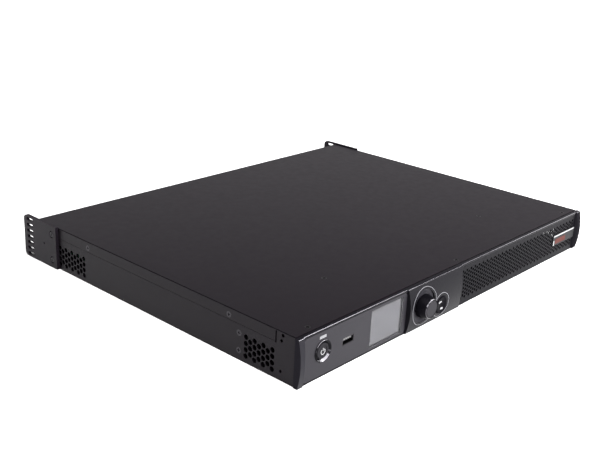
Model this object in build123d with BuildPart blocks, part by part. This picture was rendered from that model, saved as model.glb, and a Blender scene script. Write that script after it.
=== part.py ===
from build123d import *
import os

# One-unit rack power supply with a battery bank.
# Millimetres. +X right as seen from the front, +Y to the rear, +Z up.
# The origin is the centre of the chassis bottom face; the front faces -Y.

# ---- driving dimensions -------------------------------------------------
chassis_width = 440.0
chassis_depth = 336.4
chassis_height = 41.1
sheet = 1.0
panel_sheet = 1.2

side_x = chassis_width / 2
front_y = -chassis_depth / 2
rear_y = chassis_depth / 2
cover_underside = chassis_height - sheet
flange_under_cover = cover_underside - 0.05

# the cover's side flange lies in a joggle of the tray's side wall
flange_bottom = 31.1
joggle_z = flange_bottom - 0.3
joggle = sheet + 0.2
cover_front_y = front_y + 0.8
cover_front_slit = (-148.9, -147.6)
flange_screw_ys = (-97.2, 87.7)
flange_screw_z = 35.0

# front bezel
bezel_half = 221.0
bezel_bottom = 0.1
bezel_top = 40.9
bezel_edge_y = -172.4
bezel_crest_y = -174.9
bezel_back_y = front_y
insert_face_y = -171.4
flat_edge_radius = 1.3
insert_thick = 1.0
insert_seat_y = insert_face_y + insert_thick
insert_bottom = 1.5
insert_top = 38.6
insert_corner = 4.0
control_zone = (-214.5, -86.6)
grille_zone = (-5.2, 213.5)

# grille
grille_hole = 2.8
grille_pitch_x = 3.38
grille_pitch_z = 3.7
grille_rows = 8
grille_columns = 63
grille_first_x = -2.2
grille_mid_z = 20.1
air_opening_x = (-2.0, 209.0)
air_opening_z = (5.0, 35.4)

# front controls: centres as (x, z)
power_at = (-192.3, 22.0)
power_ring_radius = 9.25
power_button_radius = 6.65
moving_gap = 0.3
power_front_y = -171.5
power_dish_radius = 4.6
power_dish_depth = 0.3
usb_at = (-162.5, 21.0)
usb_opening = (12.5, 5.12)
usb_shell = 0.4
status_x = (-196.9, -189.2)
status_z = (32.9, 35.4)
display_x = (-131.8, -94.6)
display_z = (5.6, 34.0)
lens_x = (-134.4, -92.0)
lens_z = (3.4, 36.2)
window_x = (-132.9, -93.5)
window_z = (4.4, 35.6)
knob_at = (-64.4, 20.1)
knob_radius = 10.8
knob_nose_radius = 8.7
knob_base_y = -172.8
knob_front_y = -182.4
dish_radius = 15.0
shaft_radius = 3.0
running_clearance = 0.05
escape_at = (-38.6, 13.5)
escape_radius = 8.2
escape_front_y = -175.6
escape_dish_radius = 30.0
escape_dish_depth = 0.7
trim_knob_radius = 17.5
trim_escape_radius = 11.5
trim_width = 0.55
trim_height = 0.25
trim_x = (-84.0, -24.0)
control_board_y = (-158.0, -156.4)

# sub-panel behind the bezel
subpanel_y = (-168.0, -166.8)
subpanel_flange_top_y = -155.5
subpanel_flange_low_y = -160.0

# dividing wall that carries the fans
divider_y = -113.2
divider_flange_y = (-112.0, -103.4)
divider_screw_y = -109.0
divider_screw_zs = (8.3, 23.4)
divider_windows_x = (-150.0, -90.0, -30.0, 30.0)
divider_window_width = 40.0
fan_size = 38.0
fan_depth = 20.0
fan_screw_offset = 16.0
fan_screw_radius = 1.5
fan_bore = 17.4
fan_z = 20.6
fan_xs = (120.0, 175.0)

# battery bank
block_x = 151.0
block_y = 94.0
block_z = 34.0
block_xs = (-137.4, 15.1)
block_ys = (-55.0, 40.5)
block_floor = 2.2
block_corner = 2.0
lid_margin = 12.0
lid_half_width = 6.0

# ears
ear_thick = 3.0
ear_y = (134.2, 187.5)
ear_top = 42.2
ear_slots = 7
ear_slot_pitch = 5.85
ear_slot_first_z = 3.5
ear_slot_size = (10.5, 3.1)
ear_slot_y = 177.4
ear_screw_y = 141.3
ear_recess_size = (7.0, 5.6)
ear_recess_depth = 1.7
ear_small_hole_at = (153.9, 21.4)
ear_small_hole_radius = 1.1
ear_corner = 5.0
side_hole_low_z = 7.9
side_hole_high_z = 33.5
side_hole_radius = 1.4
front_hole_y = -154.0
bezel_peg_hole_at = (-155.3, 38.2)
bezel_peg_hole_radius = 1.5

# side vents
vent_pitch_y = 4.7
vent_pitch_z = 5.43
vent_low_z = 6.2
vent_hole = 4.6
front_vent_y = -145.0
front_vent_columns = 7
rear_vent_y = 94.5
rear_vent_columns = 9

# rear connectors, by the x of their centres
inlet_x = 190.0
breaker_x = 158.0
outlet_xs = (122.0, 88.0, 54.0, 20.0)
slot_cover_x = (-58.0, -10.0)
slot_screw_xs = (-55.4, -12.6)
usb_b_x = -82.0
serial_x = -112.0
network_x = -150.0
stop_terminal_x = -182.0
ground_x = -205.0
power_row_z = 20.5
rear_hole_columns = 29
rear_hole_first_x = 64.0
rear_hole_pitch_x = 4.7
rear_hole_low_z = 29.8
rear_hole_pitch_z = 4.4
rear_hole_radius = 1.6

# boards
board_z = (7.0, 8.6)
power_board_x = (96.0, 216.0)
power_board_y = (-100.0, 86.0)
output_board_x = (-60.0, 212.0)
output_board_y = (92.0, 138.0)
comms_board_x = (-200.0, -66.0)
comms_board_y = (112.0, 166.0)

os.makedirs("parts", exist_ok=True)


# ---- helpers ------------------------------------------------------------
def save(part, name):
    """Label a finished piece and write its STEP file."""
    part.label = name
    export_step(part, "parts/" + name + ".step")


def block(x, y, z, mode=Mode.ADD):
    """Box between the given x, y and z limits."""
    with Locations(((x[0] + x[1]) / 2, (y[0] + y[1]) / 2, (z[0] + z[1]) / 2)):
        Box(x[1] - x[0], y[1] - y[0], z[1] - z[0], mode=mode)


def rod_x(y, z, x, radius, mode=Mode.ADD):
    """Cylinder along X between two x limits."""
    with Locations(((x[0] + x[1]) / 2, y, z)):
        Cylinder(radius, x[1] - x[0], rotation=(0, 90, 0), mode=mode)


def rod_y(x, z, y, radius, mode=Mode.ADD):
    """Cylinder along Y between two y limits."""
    with Locations((x, (y[0] + y[1]) / 2, z)):
        Cylinder(radius, y[1] - y[0], rotation=(90, 0, 0), mode=mode)


def rod_z(x, y, z, radius, mode=Mode.ADD):
    """Cylinder along Z between two z limits."""
    with Locations((x, y, (z[0] + z[1]) / 2)):
        Cylinder(radius, z[1] - z[0], mode=mode)


def facing_front(x, y, z):
    """Plane whose normal points out of the front."""
    return Plane(origin=(x, y, z), x_dir=(1, 0, 0), z_dir=(0, -1, 0))


def facing_rear(x, y, z):
    """Plane whose normal points out of the rear."""
    return Plane(origin=(x, y, z), x_dir=(-1, 0, 0), z_dir=(0, 1, 0))


def facing_side(sign, x, y, z):
    """Plane whose normal points out of the left or right side."""
    return Plane(origin=(x, y, z), x_dir=(0, sign, 0), z_dir=(sign, 0, 0))


def facing_up(x, y, z):
    """Plane whose normal points up."""
    return Plane(origin=(x, y, z), x_dir=(1, 0, 0), z_dir=(0, 0, 1))


def middle(pair):
    return (pair[0] + pair[1]) / 2


def turned(points, at):
    """Solid turned about the Y line through a centre, from (radius, y) points."""
    with BuildPart() as solid:
        with BuildSketch(Plane(origin=(at[0], 0, at[1]), x_dir=(1, 0, 0), z_dir=(0, 0, 1))):
            with BuildLine():
                Polyline(*points, close=True)
            make_face()
        revolve(axis=Axis((at[0], 0, at[1]), (0, 1, 0)))
    return solid.part


# ---- hole patterns ------------------------------------------------------
def vent_points(first_y, columns):
    """Side vent: columns of four and three holes by turns, as (y, z)."""
    points = []
    for column in range(columns):
        short = column % 2
        for row in range(4 - short):
            z = vent_low_z + (row + 0.5 * short) * vent_pitch_z
            points.append((first_y + column * vent_pitch_y, z))
    return points


def grille_points():
    """Front grille: columns of eight and seven holes by turns, as (x, z)."""
    points = []
    for column in range(grille_columns):
        short = column % 2
        for row in range(grille_rows - short):
            step = row - (grille_rows - 1 - short) / 2
            x = grille_first_x + column * grille_pitch_x
            points.append((x, grille_mid_z + step * grille_pitch_z))
    return points


# ---- fasteners ----------------------------------------------------------
head_radius = 2.6
shank_radius = 1.3
shank_hole = 1.35
head_depth = 1.0
cross_depth = 0.7
cross_width = 0.7
cross_length = 2.8


def flat_screw(length):
    """Countersunk screw, its face on the plane and its shank behind it."""
    with BuildSketch(Plane.XZ) as half:
        with BuildLine():
            Polyline((0, 0), (head_radius, 0), (shank_radius, -head_depth),
                     (shank_radius, -length), (0, -length), close=True)
        make_face()
    return half.sketch


def screw_solid(length, pan=0.0):
    """A screw along Z: a countersunk one, or a pan head when pan is given."""
    with BuildPart() as screw:
        if pan:
            rod_z(0, 0, (-length, 0.1), shank_radius)
            rod_z(0, 0, (0, pan), head_radius)
            fillet(screw.edges().filter_by(GeomType.CIRCLE).sort_by(Axis.Z)[-1], pan * 0.4)
        else:
            add(revolve(flat_screw(length), axis=Axis.Z, mode=Mode.PRIVATE))
        for angle in (0, 90):
            with Locations((0, 0, pan - cross_depth / 2 + 0.05)):
                Box(cross_length, cross_width, cross_depth + 0.1,
                    rotation=(0, 0, angle), mode=Mode.SUBTRACT)
    return screw.part


def screw_group(planes, length, pan=0.0):
    """The same screw repeated on each plane."""
    one = screw_solid(length, pan)
    with BuildPart() as group:
        for plane in planes:
            add(plane.location * one)
    return group.part


def countersink(plane):
    """Cut a countersunk clearance hole through the sheet at a plane."""
    with BuildPart(plane, mode=Mode.PRIVATE) as tool:
        with Locations((0, 0, -head_depth / 2)):
            Cone(shank_hole + 0.05, head_radius + 0.05, head_depth)
        with Locations((0, 0, -3.0)):
            Cylinder(shank_hole + 0.05, 5.0)
    add(tool.part, mode=Mode.SUBTRACT)


top_front_planes = [facing_up(x, -161.5, chassis_height) for x in (-200.0, 0.0, 200.0)]
top_divider_planes = [facing_up(x, divider_screw_y, chassis_height) for x in (-121.0, 121.0)]
flange_planes = []
divider_planes = []
ear_planes = []
for side in (-1, 1):
    for y in flange_screw_ys:
        flange_planes.append(facing_side(side, side * side_x, y, flange_screw_z))
    for z in divider_screw_zs:
        divider_planes.append(facing_side(side, side * side_x, divider_screw_y, z))
    for z in (side_hole_low_z, side_hole_high_z):
        seat_x = side_x + ear_thick - ear_recess_depth
        ear_planes.append(facing_side(side, side * seat_x, ear_screw_y, z))
side_front_holes = [(front_hole_y, side_hole_low_z), (front_hole_y, side_hole_high_z)]
side_rear_holes = [(ear_screw_y, side_hole_low_z), (ear_screw_y, side_hole_high_z)]


# ---- chassis tray -------------------------------------------------------
inner = side_x - sheet
inset = side_x - joggle
with BuildPart() as chassis_tray:
    with BuildSketch(facing_rear(0, front_y, 0)):
        for side in (-1, 1):
            with BuildLine():
                Polyline((0, 0), (side * side_x, 0), (side * side_x, joggle_z),
                         (side * inset, joggle_z), (side * inset, cover_underside),
                         (side * (inset - sheet), cover_underside),
                         (side * (inset - sheet), joggle_z - sheet),
                         (side * inner, joggle_z - sheet), (side * inner, sheet),
                         (0, sheet), close=True)
            make_face()
    extrude(amount=chassis_depth)
    for side in (-1, 1):
        # ahead of the cover's flange the wall is flush and runs to its full height
        offset_wall = sorted((side * inner, side * (inset - sheet - 0.1)))
        block(offset_wall, (front_y, cover_front_slit[1]), (joggle_z - sheet, cover_underside),
              mode=Mode.SUBTRACT)
        flush_wall = sorted((side * side_x, side * inner))
        block(flush_wall, (cover_front_slit[0], cover_front_slit[1]),
              (joggle_z - sheet, cover_underside), mode=Mode.SUBTRACT)
        block(flush_wall, (front_y, cover_front_slit[0]), (joggle_z - sheet, cover_underside))
    with BuildSketch(Plane.YZ.offset(-side_x - 5)):
        with Locations(*vent_points(front_vent_y, front_vent_columns)):
            Circle(vent_hole / 2)
        with Locations(*vent_points(rear_vent_y, rear_vent_columns)):
            Circle(vent_hole / 2)
        with Locations(*side_front_holes, *side_rear_holes):
            Circle(side_hole_radius)
        with Locations(bezel_peg_hole_at):
            Circle(bezel_peg_hole_radius)
        with Locations(*[(y, flange_screw_z) for y in flange_screw_ys]):
            Circle(shank_hole)
    extrude(amount=chassis_width + 10, mode=Mode.SUBTRACT)
    for plane in divider_planes:
        countersink(plane)
save(chassis_tray.part, "chassis_tray")

# ---- top cover ----------------------------------------------------------
with BuildPart() as top_cover:
    block((-side_x, side_x), (cover_front_y, rear_y), (cover_underside, chassis_height))
    for side in (-1, 1):
        wall = sorted((side * side_x, side * (side_x - sheet)))
        block(wall, (cover_front_slit[1], rear_y), (flange_bottom, cover_underside))
    long_edges = top_cover.edges().filter_by(Axis.Y).group_by(Axis.Z)[-1]
    fillet(long_edges, 0.6)
    for plane in top_front_planes + top_divider_planes + flange_planes:
        countersink(plane)
    with BuildSketch(Plane.YZ.offset(-side_x - 5)):
        with Locations((ear_screw_y, side_hole_high_z)):
            Circle(side_hole_radius)
    extrude(amount=chassis_width + 10, mode=Mode.SUBTRACT)
save(top_cover.part, "top_cover")

flat_planes = top_front_planes + top_divider_planes + flange_planes + divider_planes
save(screw_group(flat_planes, 4.2), "flat_screws")

# ---- front sub-panel ----------------------------------------------------
subpanel_half = inner - 0.1
panel_cut = (subpanel_y[0] - 2, subpanel_y[1] + 2)
with BuildPart() as front_subpanel:
    block((-subpanel_half, subpanel_half), subpanel_y, (sheet, flange_under_cover))
    block((-subpanel_half, subpanel_half), (subpanel_y[1], subpanel_flange_top_y),
          (flange_under_cover - panel_sheet, flange_under_cover))
    block((-subpanel_half, subpanel_half), (subpanel_y[1], subpanel_flange_low_y),
          (sheet, sheet + panel_sheet))
    block(air_opening_x, panel_cut, air_opening_z, mode=Mode.SUBTRACT)
    block(window_x, panel_cut, window_z, mode=Mode.SUBTRACT)
    block((usb_at[0] - 8.2, usb_at[0] + 8.2), panel_cut, (usb_at[1] - 4.4, usb_at[1] + 4.4),
          mode=Mode.SUBTRACT)
    block((status_x[0] - 0.6, status_x[1] + 0.6), panel_cut, (32.0, 36.8), mode=Mode.SUBTRACT)
    rod_y(*power_at, panel_cut, 8.4, mode=Mode.SUBTRACT)
    rod_y(*knob_at, panel_cut, 9.0, mode=Mode.SUBTRACT)
    rod_y(*escape_at, panel_cut, escape_radius + 1.2, mode=Mode.SUBTRACT)
    for plane in top_front_planes:
        rod_z(plane.origin.X, plane.origin.Y, (36, 42), shank_hole, mode=Mode.SUBTRACT)
save(front_subpanel.part, "front_subpanel")


# ---- front bezel --------------------------------------------------------
def bezel_section(proud=0.0):
    """Side profile of the bezel as (y, z): a bulged face and a rounded top edge."""
    crest = bezel_crest_y - proud
    edge = bezel_edge_y - proud
    with BuildLine() as outline:
        Line((bezel_back_y, bezel_bottom), (edge, bezel_bottom))
        ThreePointArc((edge, bezel_bottom), (crest, 20.1), (edge, 39.4))
        ThreePointArc((edge, 39.4), (edge + 0.44, 40.46), (edge + 1.5, bezel_top))
        Line((edge + 1.5, bezel_top), (bezel_back_y, bezel_top))
        Line((bezel_back_y, bezel_top), (bezel_back_y, bezel_bottom))
    return outline


def bezel_solid(x, proud=0.0):
    """The bezel's profile run between two x limits."""
    with BuildPart() as solid:
        with BuildSketch(Plane.YZ.offset(x[0])):
            add(bezel_section(proud).line)
            make_face()
        extrude(amount=x[1] - x[0])
    return solid.part


def flat_zone(limits):
    """Cut the bulge back to the insert's face, its ends slanted and its top edge rounded."""
    rise = 5.0
    run = 2.5
    with BuildSketch(Plane.XY) as plan:
        with BuildLine():
            Polyline((limits[0], insert_face_y), (limits[1], insert_face_y),
                     (limits[1] + run, insert_face_y - rise),
                     (limits[0] - run, insert_face_y - rise), close=True)
        make_face()
    extrude(plan.sketch, amount=chassis_height, mode=Mode.SUBTRACT)
    with BuildSketch(Plane.YZ.offset(limits[0])) as corner:
        square = flat_edge_radius + 0.5
        with Locations((insert_face_y + flat_edge_radius, bezel_top - flat_edge_radius)):
            Rectangle(square, square, align=(Align.MAX, Align.MIN))
            Circle(flat_edge_radius, mode=Mode.SUBTRACT)
    extrude(corner.sketch, amount=limits[1] - limits[0], mode=Mode.SUBTRACT)


def insert_outline(limits, grow=0.0):
    """Rounded rectangle of an insert plate, in the plane's own x and z."""
    width = limits[1] - limits[0] + 2 * grow
    height = insert_top - insert_bottom + 2 * grow
    with Locations((middle(limits), middle((insert_bottom, insert_top)))):
        RectangleRounded(width, height, insert_corner)


bezel_cut = (-180, -167)
hollow_z = (3.0, 38.4)
hollow_front_y = insert_seat_y + 1.0
with BuildPart() as front_bezel:
    add(bezel_solid((-bezel_half, bezel_half)))
    # hollow back, shallower where the insert seats are
    block((-216.5, -82.0), (hollow_front_y, -167), hollow_z, mode=Mode.SUBTRACT)
    block((-79.0, -9.5), (-171.6, -167), hollow_z, mode=Mode.SUBTRACT)
    block((-7.0, 217.0), (hollow_front_y, -167), hollow_z, mode=Mode.SUBTRACT)
    flat_zone(control_zone)
    flat_zone(grille_zone)
    for zone in (control_zone, grille_zone):
        with BuildSketch(facing_front(0, insert_seat_y, 0)):
            insert_outline(zone, 0.1)
        extrude(amount=4, mode=Mode.SUBTRACT)
    # openings
    block(air_opening_x, bezel_cut, air_opening_z, mode=Mode.SUBTRACT)
    block(window_x, bezel_cut, window_z, mode=Mode.SUBTRACT)
    block((usb_at[0] - 7.2, usb_at[0] + 7.2), bezel_cut, (usb_at[1] - 3.4, usb_at[1] + 3.4),
          mode=Mode.SUBTRACT)
    block(status_x, bezel_cut, status_z, mode=Mode.SUBTRACT)
    rod_y(*power_at, bezel_cut, power_ring_radius - 1.0, mode=Mode.SUBTRACT)
    rod_y(*knob_at, bezel_cut, dish_radius + 0.1, mode=Mode.SUBTRACT)
    rod_y(*escape_at, bezel_cut, escape_radius + moving_gap, mode=Mode.SUBTRACT)
save(front_bezel.part, "front_bezel")

# ---- control insert: the flat plate behind which the display sits -------
with BuildPart() as control_insert:
    with BuildSketch(facing_front(0, insert_seat_y, 0)):
        insert_outline(control_zone)
        with Locations((middle(lens_x), middle(lens_z))):
            RectangleRounded(lens_x[1] - lens_x[0] + 0.1, lens_z[1] - lens_z[0] + 0.1, 0.6,
                             mode=Mode.SUBTRACT)
        with Locations(usb_at):
            Rectangle(usb_opening[0] + 1.1, usb_opening[1] + 1.1, mode=Mode.SUBTRACT)
        with Locations((middle(status_x), middle(status_z))):
            Rectangle(status_x[1] - status_x[0], status_z[1] - status_z[0], mode=Mode.SUBTRACT)
        with Locations(power_at):
            Circle(power_ring_radius + 0.05, mode=Mode.SUBTRACT)
    extrude(amount=insert_thick)
save(control_insert.part, "control_insert")

# ---- front grille -------------------------------------------------------
with BuildPart() as front_grille:
    with BuildSketch(facing_front(0, insert_seat_y, 0)):
        insert_outline(grille_zone)
        with Locations(*grille_points()):
            Circle(grille_hole / 2, mode=Mode.SUBTRACT)
    extrude(amount=insert_thick)
save(front_grille.part, "front_grille")

# plain plate on the grille's right end
plate_x = (167.5, 212.0)
with BuildPart() as badge_plate:
    block(plate_x, (insert_face_y - 0.8, insert_face_y), (14.0, 25.4))
    edges = badge_plate.edges().filter_by(Axis.Y)
    fillet(edges, 1.0)
save(badge_plate.part, "badge_plate")

# ---- display ------------------------------------------------------------
with BuildPart() as display_lens:
    with BuildSketch(facing_front(middle(lens_x), insert_seat_y, middle(lens_z))):
        RectangleRounded(lens_x[1] - lens_x[0], lens_z[1] - lens_z[0], 0.55)
    extrude(amount=insert_thick)
save(display_lens.part, "display_lens")

lcd_front = -170.2
with BuildPart() as display_module:
    block((window_x[0] + 0.3, window_x[1] - 0.3), (lcd_front, -163.5),
          (window_z[0] + 0.3, window_z[1] - 0.3))
    block(display_x, (lcd_front, lcd_front + 0.4), display_z, mode=Mode.SUBTRACT)
    block((-131.0, -101.0), (-163.5, -160.5), (9.0, 13.0))
save(display_module.part, "display_module")

with BuildPart() as display_panel:
    block(display_x, (lcd_front + 0.05, lcd_front + 0.4), display_z)
save(display_panel.part, "display_panel")

# ---- status light -------------------------------------------------------
with BuildPart() as status_light:
    block((status_x[0] + 0.1, status_x[1] - 0.1), (insert_face_y - 0.1, -160.2),
          (status_z[0] + 0.1, status_z[1] - 0.1))
save(status_light.part, "status_light")

# ---- power button: ring, cap and the switch it works --------------------
ring_bore = power_button_radius + moving_gap
with BuildPart() as power_ring:
    add(turned([(ring_bore, -167.4), (power_ring_radius - 1.05, -167.4),
                (power_ring_radius - 1.05, insert_seat_y), (power_ring_radius, insert_seat_y),
                (power_ring_radius, -172.0), (power_ring_radius - 0.2, -172.2),
                (power_ring_radius - 0.65, -172.2), (ring_bore, -170.55)], power_at))
save(power_ring.part, "power_ring")

power_back_y = -168.8
plunger_radius = 2.2
with BuildPart() as power_button:
    rod_y(*power_at, (power_front_y, power_back_y), power_button_radius)
    front_rim = power_button.edges().filter_by(GeomType.CIRCLE).group_by(Axis.Y)[0]
    fillet(front_rim, 0.6)
    rod_y(*power_at, (power_front_y - 1, power_front_y + power_dish_depth), power_dish_radius,
          mode=Mode.SUBTRACT)
    rod_y(*power_at, (power_back_y, -163.6), plunger_radius)
save(power_button.part, "power_button")

# ---- escape button ------------------------------------------------------
escape_back_y = -169.0
with BuildPart() as escape_button:
    rod_y(*escape_at, (escape_front_y, escape_back_y), escape_radius)
    front_rim = escape_button.edges().filter_by(GeomType.CIRCLE).group_by(Axis.Y)[0]
    fillet(front_rim, 0.8)
    dish_centre_y = escape_front_y + escape_dish_depth - escape_dish_radius
    with Locations((escape_at[0], dish_centre_y, escape_at[1])):
        Sphere(escape_dish_radius, mode=Mode.SUBTRACT)
    rod_y(*escape_at, (escape_back_y, -163.5), plunger_radius)
save(escape_button.part, "escape_button")

# push switches on the control board, each with a recess for its dome
switch_front = -162.2
with BuildPart() as key_switches:
    for x, z in (power_at, escape_at):
        block((x - 3.0, x + 3.0), (switch_front, control_board_y[0]), (z - 3.0, z + 3.0))
        rod_y(x, z, (switch_front, switch_front + 0.5), 1.7, mode=Mode.SUBTRACT)
save(key_switches.part, "key_switches")

# ---- jog knob and its encoder -------------------------------------------
dish_face = -173.2
dish_floor = -171.9
dish_back = -169.6
dish_bore = shaft_radius + 2.0
with BuildPart() as knob_dish:
    add(turned([(dish_bore, dish_back), (dish_radius, dish_back), (dish_radius, dish_face),
                (dish_radius - 0.4, dish_face), (knob_radius + 0.8, dish_floor),
                (dish_bore, dish_floor)], knob_at))
save(knob_dish.part, "knob_dish")

hub_top_y = knob_front_y + 2.6
bore_radius = shaft_radius + 0.02
with BuildPart() as knob:
    add(turned([(bore_radius, knob_base_y), (knob_radius - 0.3, knob_base_y),
                (knob_radius, knob_base_y - 0.4), (knob_radius - 0.1, knob_base_y - 2.0),
                (knob_radius - 0.4, knob_base_y - 4.2), (knob_radius - 0.9, knob_base_y - 6.4),
                (knob_radius - 1.5, knob_base_y - 8.0), (knob_nose_radius, knob_front_y + 0.6),
                (knob_nose_radius - 0.6, knob_front_y), (knob_nose_radius - 1.1, knob_front_y),
                (knob_nose_radius - 1.3, knob_front_y + 0.5), (0, knob_front_y + 0.5),
                (0, hub_top_y), (bore_radius, hub_top_y)], knob_at))
save(knob.part, "knob")

with BuildPart() as knob_cap:
    rod_y(*knob_at, (knob_front_y + 0.1, knob_front_y + 0.5), knob_nose_radius - 1.4)
save(knob_cap.part, "knob_cap")

with BuildPart() as encoder_shaft:
    rod_y(*knob_at, (hub_top_y, -161.4), shaft_radius)
    block((knob_at[0] - 4, knob_at[0] + 4), (knob_front_y, -173.5),
          (knob_at[1] + 1.6, knob_at[1] + 4), mode=Mode.SUBTRACT)
    rod_y(*knob_at, (-164.0, -162.6), shaft_radius + 0.9)
save(encoder_shaft.part, "encoder_shaft")

encoder_front = -165.0
encoder_half = 6.2
with BuildPart() as encoder_body:
    block((knob_at[0] - encoder_half, knob_at[0] + encoder_half), (encoder_front, control_board_y[0]),
          (knob_at[1] - encoder_half, knob_at[1] + encoder_half))
    rod_y(*knob_at, (-168.9, encoder_front), 3.9)
    rod_y(*knob_at, (-170, encoder_front + 0.6), shaft_radius + running_clearance,
          mode=Mode.SUBTRACT)
    rod_y(*knob_at, (encoder_front + 0.6, -159.0), shaft_radius + 1.3, mode=Mode.SUBTRACT)
save(encoder_body.part, "encoder_body")

with BuildPart() as encoder_plunger:
    rod_y(*knob_at, (-161.3, -160.3), shaft_radius + 0.6)
save(encoder_plunger.part, "encoder_plunger")

# ---- thin bright line round the knob and the button ---------------------
with BuildPart() as control_trim:
    add(bezel_solid(trim_x, trim_height))
    with BuildSketch(facing_front(0, -160, 0)):
        with Locations(knob_at):
            Circle(trim_knob_radius)
        with Locations(escape_at):
            Circle(trim_escape_radius)
        with Locations(knob_at):
            Circle(trim_knob_radius - trim_width, mode=Mode.SUBTRACT)
        with Locations(escape_at):
            Circle(trim_escape_radius - trim_width, mode=Mode.SUBTRACT)
    extrude(amount=20, mode=Mode.INTERSECT)
    add(bezel_solid((trim_x[0] - 2, trim_x[1] + 2)), mode=Mode.SUBTRACT)
save(control_trim.part, "control_trim")

# ---- front USB socket ---------------------------------------------------
usb_half = (usb_opening[0] / 2, usb_opening[1] / 2)
usb_x = (usb_at[0] - usb_half[0], usb_at[0] + usb_half[0])
usb_z = (usb_at[1] - usb_half[1], usb_at[1] + usb_half[1])
usb_y = (-171.2, control_board_y[0])
with BuildPart() as usb_port:
    block((usb_x[0] - usb_shell, usb_x[1] + usb_shell), usb_y,
          (usb_z[0] - usb_shell, usb_z[1] + usb_shell))
    block(usb_x, (usb_y[0] - 1, usb_y[1] - 1.0), usb_z, mode=Mode.SUBTRACT)
save(usb_port.part, "usb_port")

with BuildPart() as usb_tongue:
    block((usb_x[0] + 0.7, usb_x[1] - 0.7), (usb_y[0] + 1.0, usb_y[1] - 1.0),
          (usb_z[1] - 2.5, usb_z[1] - 0.65))
    block(usb_x, (usb_y[1] - 2.6, usb_y[1] - 1.0), usb_z)
save(usb_tongue.part, "usb_tongue")

# ---- control board ------------------------------------------------------
with BuildPart() as control_board:
    block((-205.0, -18.0), control_board_y, (4.0, 37.6))
    for x in (-180.0, -150.0, -75.0, -45.0):
        block((x - 5, x + 5), (control_board_y[1], control_board_y[1] + 1.6), (14.0, 24.0))
    block((-150.0, -120.0), (control_board_y[1], control_board_y[1] + 6.0), (27.0, 33.0))
save(control_board.part, "control_board")

# ---- divider with its flanges -------------------------------------------
divider_half = inset - sheet - 0.1
divider_cut = (divider_y - 2, divider_flange_y[0] + 2)
with BuildPart() as divider:
    block((-divider_half, divider_half), (divider_y, divider_flange_y[0]),
          (sheet, flange_under_cover))
    block((-divider_half, divider_half), divider_flange_y,
          (flange_under_cover - panel_sheet, flange_under_cover))
    block((-divider_half, divider_half), divider_flange_y, (sheet, sheet + panel_sheet))
    for side in (-1, 1):
        flange = sorted((side * inner, side * (divider_half - 0.4)))
        block(flange, (divider_y, divider_flange_y[1]), (sheet, joggle_z - sheet - 0.1))
    for x in fan_xs:
        rod_y(x, fan_z, divider_cut, fan_bore, mode=Mode.SUBTRACT)
        for dx in (-fan_screw_offset, fan_screw_offset):
            for dz in (-fan_screw_offset, fan_screw_offset):
                rod_y(x + dx, fan_z + dz, divider_cut, fan_screw_radius, mode=Mode.SUBTRACT)
    for x in divider_windows_x:
        block((x - divider_window_width / 2, x + divider_window_width / 2), divider_cut,
              (12, 30), mode=Mode.SUBTRACT)
    for plane in top_divider_planes:
        rod_z(plane.origin.X, plane.origin.Y, (36, 42), shank_hole, mode=Mode.SUBTRACT)
    for z in divider_screw_zs:
        rod_x(divider_screw_y, z, (-side_x, side_x), shank_hole, mode=Mode.SUBTRACT)
save(divider.part, "divider")


# ---- fans ---------------------------------------------------------------
hub_radius = 8.0
blade_count = 7
with BuildPart() as fan_frames:
    for x in fan_xs:
        with Locations(facing_front(x, divider_y, fan_z)):
            with Locations((0, 0, fan_depth / 2)):
                Box(fan_size, fan_size, fan_depth)
    corners = fan_frames.edges().filter_by(Axis.Y)
    fillet(corners, 2.0)
    for x in fan_xs:
        with Locations(facing_front(x, divider_y, fan_z)):
            with Locations((0, 0, fan_depth / 2)):
                Cylinder(fan_bore, fan_depth, mode=Mode.SUBTRACT)
            with Locations((0, 0, 1.5)):
                Cylinder(hub_radius, 3.0)
                with PolarLocations((hub_radius + fan_bore) / 2, 3, start_angle=45):
                    Box(fan_bore - hub_radius + 1.0, 2.4, 3.0)
            with Locations((0, 0, 1.9)):
                Cylinder(1.0 + running_clearance, 2.4, mode=Mode.SUBTRACT)
            with Locations((0, 0, fan_depth / 2)):
                with GridLocations(2 * fan_screw_offset, 2 * fan_screw_offset, 2, 2):
                    Cylinder(fan_screw_radius + 0.1, fan_depth, mode=Mode.SUBTRACT)
save(fan_frames.part, "fan_frames")

for number, x in enumerate(fan_xs, start=1):
    with BuildPart() as fan_rotor:
        with Locations(facing_front(x, divider_y, fan_z)):
            with Locations((0, 0, 10.5)):
                Cylinder(hub_radius, 14.0)
            with Locations((0, 0, 9.5)):
                with PolarLocations((hub_radius + 16.2) / 2 - 0.3, blade_count):
                    Box(16.2 - hub_radius + 0.6, 11.0, 1.1, rotation=(42, 0, 0))
            with Locations((0, 0, 2.4)):
                Cylinder(1.0, 2.4)
        hub_rim = fan_rotor.edges().filter_by(GeomType.CIRCLE).group_by(Axis.Y)[0]
        fillet(hub_rim, 1.0)
    save(fan_rotor.part, "fan_rotor_" + str(number))

# ---- batteries ----------------------------------------------------------
block_top = block_floor + block_z
with BuildPart() as battery_blocks:
    for y in block_ys:
        for x in block_xs:
            block((x - block_x / 2, x + block_x / 2), (y - block_y / 2, y + block_y / 2),
                  (block_floor, block_top))
    fillet(battery_blocks.edges().filter_by(Axis.Z), block_corner)
    for y in block_ys:
        for x in block_xs:
            block((x - block_x / 2 + lid_margin, x + block_x / 2 - lid_margin),
                  (y - lid_half_width, y + lid_half_width), (block_top - 0.8, block_top + 1),
                  mode=Mode.SUBTRACT)
save(battery_blocks.part, "battery_blocks")

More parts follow.
